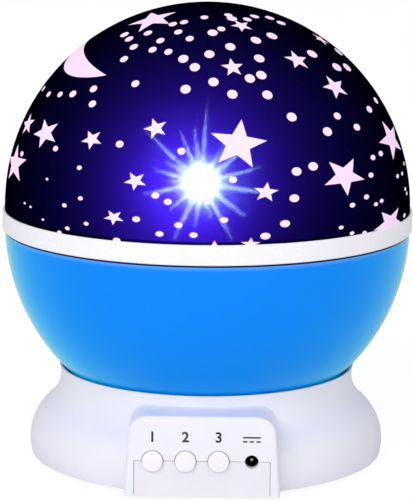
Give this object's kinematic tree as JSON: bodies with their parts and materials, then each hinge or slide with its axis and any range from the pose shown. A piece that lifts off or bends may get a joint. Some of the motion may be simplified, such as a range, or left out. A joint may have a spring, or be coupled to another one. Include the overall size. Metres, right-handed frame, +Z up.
{
  "type": "star night light projector",
  "caption": "Star night light: a printed dome that lifts off stands on a round bowl, which a small geared motor turns in a flared base with a button panel and power inlet.",
  "frame": {"origin": "on the globe's axis, at table level under the rubber feet", "axes": "+Z up along the globe's axis, -Y out of the control panel at the front, +X to the right seen from the front"},
  "size_m": [0.1226, 0.1226, 0.1366],
  "materials": {
    "white_plastic": "satin moulded white",
    "panel_plastic": "satin moulded white",
    "blue_plastic": "glossy bright blue",
    "dome_film": "dark blue see-through print with pale stars, moon and dots",
    "button_plastic": "glossy white",
    "foot_rubber": "matt grey",
    "steel": "bright",
    "pin_steel": "ground",
    "inner_plastic": "natural grey white",
    "post_plastic": "natural grey",
    "gear_plastic": "natural ivory",
    "bush_plastic": "waxy ivory",
    "pinion_brass": "cut",
    "motor_cap": "black",
    "board_green": "solder mask",
    "board_white": "white solder mask",
    "black_plastic": "black",
    "switch_plastic": "dark grey",
    "capacitor_sleeve": "dark blue sleeve",
    "jack_contact": "plated",
    "led_clear_white": "clear",
    "led_clear_blue": "clear blue tint",
    "led_clear_green": "clear green tint",
    "led_clear_red": "clear red tint",
    "cable_grey": "soft grey",
    "wire_red": "soft red",
    "spring_steel": "nickel plated",
    "cell_jacket": "printed jacket, plain",
    "deck_white": "satin reflector white"
  },
  "bodies": {
    "base": {"base_shell": "white_plastic", "base_floor": "panel_plastic", "rubber_feet": "foot_rubber", "base_screws": "steel", "mechanism_plate": "inner_plastic", "plate_screws": "steel", "centre_post": "post_plastic", "post_screws": "steel", "thrust_washer": "steel", "retaining_clip": "spring_steel", "gear_pins": "pin_steel", "motor_can": "steel", "motor_end_cap": "motor_cap", "control_board": "board_green", "board_screws": "steel", "driver_chip": "black_plastic", "filter_capacitor": "capacitor_sleeve", "switch_bodies": "switch_plastic", "dc_jack_body": "black_plastic", "dc_jack_pin": "jack_contact", "led_holder": "deck_white", "led_board": "board_white", "led_board_screws": "steel", "led_white": "led_clear_white", "led_blue": "led_clear_blue", "led_green": "led_clear_green", "led_red": "led_clear_red", "led_cable": "cable_grey", "motor_leads": "wire_red", "battery_leads": "wire_red", "contact_plates": "spring_steel", "contact_springs": "spring_steel", "battery_cells": "cell_jacket"},
    "motor_rotor": {"motor_shaft": "pin_steel", "motor_pinion": "pinion_brass"},
    "first_gear_body": {"first_gear": "gear_plastic"},
    "second_gear_body": {"second_gear": "gear_plastic"},
    "third_gear_body": {"third_gear": "gear_plastic"},
    "globe": {"bowl": "blue_plastic", "lower_bush": "bush_plastic", "upper_bush": "bush_plastic", "turntable_gear": "gear_plastic", "gear_screws": "steel", "deck_plate": "deck_white", "deck_screws": "steel"},
    "dome": {"dome_shell": "dome_film", "collar": "white_plastic"},
    "light_button_body": {"light_button": "button_plastic", "light_plunger": "black_plastic"},
    "colour_button_body": {"colour_button": "button_plastic", "colour_plunger": "black_plastic"},
    "turn_button_body": {"turn_button": "button_plastic", "turn_plunger": "black_plastic"},
    "door": {"battery_door": "panel_plastic", "door_screws": "steel"}
  },
  "joints": [
    {"name": "globe_spin", "type": "hinge", "parent": "base", "child": "globe", "pos_m": [0, 0, 0.02], "axis": [0, 0, 1], "continuous": true},
    {"name": "third_gear_spin", "type": "hinge", "parent": "base", "child": "third_gear_body", "pos_m": [0.00611, 0.02876, 0.02], "axis": [0, 0, 1], "continuous": true},
    {"name": "second_gear_spin", "type": "hinge", "parent": "base", "child": "second_gear_body", "pos_m": [0.01751, 0.02362, 0.02], "axis": [0, 0, 1], "continuous": true},
    {"name": "first_gear_spin", "type": "hinge", "parent": "base", "child": "first_gear_body", "pos_m": [0.02574, 0.01421, 0.02], "axis": [0, 0, 1], "continuous": true},
    {"name": "motor_spin", "type": "hinge", "parent": "base", "child": "motor_rotor", "pos_m": [0.03655, 0.00794, 0.02], "axis": [0, 0, 1], "continuous": true},
    {"name": "dome_lift", "type": "slide", "parent": "globe", "child": "dome", "axis": [0, 0, 1], "range_m": [0, 0.06]},
    {"name": "light_press", "type": "slide", "parent": "base", "child": "light_button_body", "axis": [0, 1, 0], "range_m": [0, 0.0008], "stiffness_N_per_m": 1200, "springref_m": -0.0004},
    {"name": "colour_press", "type": "slide", "parent": "base", "child": "colour_button_body", "axis": [0, 1, 0], "range_m": [0, 0.0008], "stiffness_N_per_m": 1200, "springref_m": -0.0004},
    {"name": "turn_press", "type": "slide", "parent": "base", "child": "turn_button_body", "axis": [0, 1, 0], "range_m": [0, 0.0008], "stiffness_N_per_m": 1200, "springref_m": -0.0004},
    {"name": "door_off", "type": "slide", "parent": "base", "child": "door", "axis": [0, 0, -1], "range_m": [0, 0.03]}
  ],
  "couplings": [
    {"joint": "third_gear_spin", "follows": "globe_spin", "ratio": -6},
    {"joint": "second_gear_spin", "follows": "globe_spin", "ratio": 24},
    {"joint": "first_gear_spin", "follows": "globe_spin", "ratio": -96},
    {"joint": "motor_spin", "follows": "globe_spin", "ratio": 384}
  ]
}
